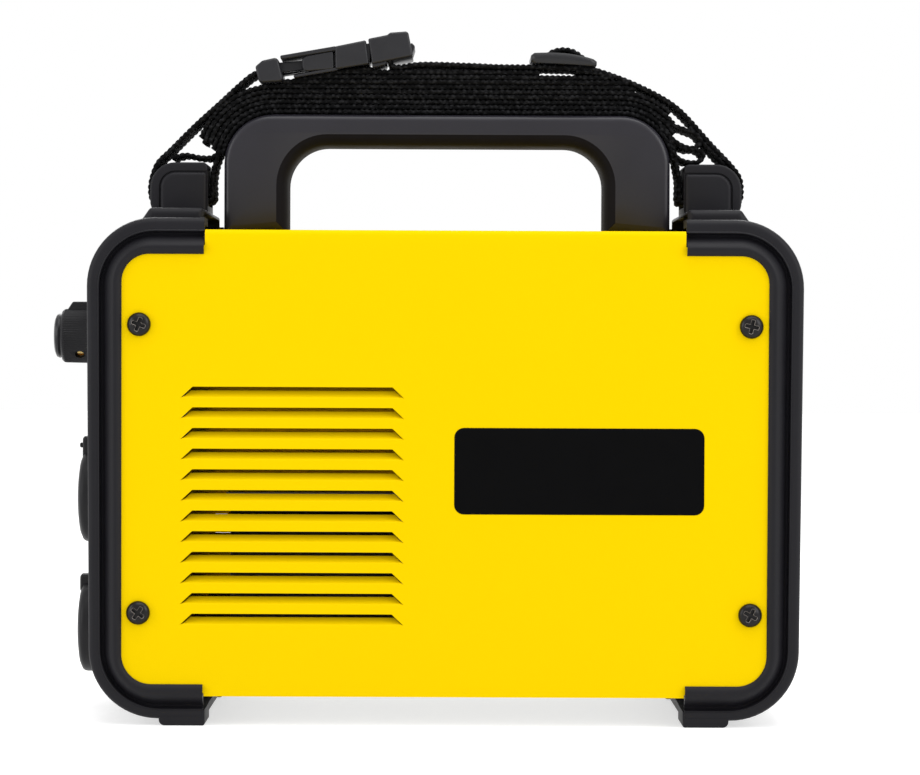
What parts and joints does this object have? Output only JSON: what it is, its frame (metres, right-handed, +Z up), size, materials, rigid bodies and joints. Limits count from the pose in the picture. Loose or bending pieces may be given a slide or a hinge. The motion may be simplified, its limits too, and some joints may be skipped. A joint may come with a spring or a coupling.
{
  "type": "stick welder",
  "caption": "Portable inverter stick welder: sheet-steel case between moulded end frames, carry handle, shoulder strap, current knob and two output sockets.",
  "frame": {"origin": "bottom centre of the overall box, on the surface the feet stand on", "axes": "+Z up; -X towards the control end with the knob and the output sockets, +X towards the fan end; Y across the case"},
  "size_m": [0.3194, 0.1418, 0.2947],
  "materials": {
    "cover_coat": "smooth powder coat, semi-gloss",
    "frame_plastic": "fine moulded texture",
    "handle_plastic": "satin moulded",
    "fascia_plastic": "fine moulded texture",
    "dial_print": "printed polycarbonate film",
    "knob_plastic": "knurled",
    "cap_plastic": "polished",
    "buckle_plastic": "satin acetal",
    "webbing": "coarse woven polypropylene",
    "black_screw": "black oxide",
    "zinc_steel": "zinc plated",
    "brass": "machined",
    "copper": "enamelled copper",
    "aluminium": "extruded",
    "circuit_board": "solder mask",
    "ferrite": "sintered",
    "fan_plastic": "moulded",
    "switch_plastic": "moulded",
    "green_lens": "clear tinted",
    "amber_lens": "clear tinted",
    "capacitor_sleeve": "shrink sleeve"
  },
  "bodies": {
    "root": {"base_plate": "zinc_steel", "board_post_front_far": "zinc_steel", "board_post_front_near": "zinc_steel", "board_post_rear_far": "zinc_steel", "board_post_rear_near": "zinc_steel", "bridge_rectifier": "cap_plastic", "buckle_socket": "buckle_plastic", "bulk_capacitor_1": "capacitor_sleeve", "bulk_capacitor_2": "capacitor_sleeve", "busbar_minus": "copper", "busbar_plus": "copper", "cable_gland": "switch_plastic", "carry_handle": "handle_plastic", "control_board": "circuit_board", "cover": "cover_coat", "cover_screw_front_lower_far": "black_screw", "cover_screw_front_lower_near": "black_screw", "cover_screw_front_upper_far": "black_screw", "cover_screw_front_upper_near": "black_screw", "cover_screw_rear_lower_far": "black_screw", "cover_screw_rear_lower_near": "black_screw", "cover_screw_rear_upper_far": "black_screw", "cover_screw_rear_upper_near": "black_screw", "dial_plate": "dial_print", "fan_housing": "fan_plastic", "front_frame": "frame_plastic", "front_panel": "fascia_plastic", "gland_locknut": "switch_plastic", "gland_nut": "switch_plastic", "handle_screw_front": "zinc_steel", "handle_screw_rear": "zinc_steel", "heatsink_far": "aluminium", "heatsink_near": "aluminium", "main_board": "circuit_board", "output_choke": "copper", "overheat_lens": "amber_lens", "potentiometer": "zinc_steel", "power_lens": "green_lens", "power_switch_body": "switch_plastic", "rear_frame": "frame_plastic", "rear_panel": "fascia_plastic", "socket_minus_body": "fascia_plastic", "socket_minus_contact": "brass", "socket_plus_body": "fascia_plastic", "socket_plus_contact": "brass", "strap_bundle": "webbing", "strap_front_run": "webbing", "strap_rear_run": "webbing", "transformer_core": "ferrite", "transformer_winding": "copper"},
    "knob": {"current_knob": "knob_plastic", "knob_cap": "cap_plastic", "knob_set_screw": "brass", "potentiometer_shaft": "aluminium"},
    "fan": {"fan_rotor": "fan_plastic"},
    "rocker": {"power_rocker": "switch_plastic"},
    "plug": {"buckle_plug": "buckle_plastic"},
    "slider": {"strap_slider": "buckle_plastic"}
  },
  "joints": [
    {"name": "knob_turn", "type": "hinge", "parent": "root", "child": "knob", "pos_m": [-0.13742, 0, 0.1626], "axis": [1, 0, 0], "range_deg": [-135, 135]},
    {"name": "fan_spin", "type": "hinge", "parent": "root", "child": "fan", "pos_m": [0.12077, 0, 0.1488], "axis": [1, 0, 0], "continuous": true},
    {"name": "power_rock", "type": "hinge", "parent": "root", "child": "rocker", "pos_m": [0.14658, -0.024, 0.0668], "axis": [0, -1, 0], "range_deg": [0, 24]},
    {"name": "buckle_release", "type": "slide", "parent": "root", "child": "plug", "axis": [-0.9823, 0, -0.1874], "range_m": [0, 0.028], "deforming": ["strap_front_run"]},
    {"name": "slider_shift", "type": "slide", "parent": "root", "child": "slider", "axis": [1, 0, 0], "range_m": [-0.012, 0.001]}
  ]
}
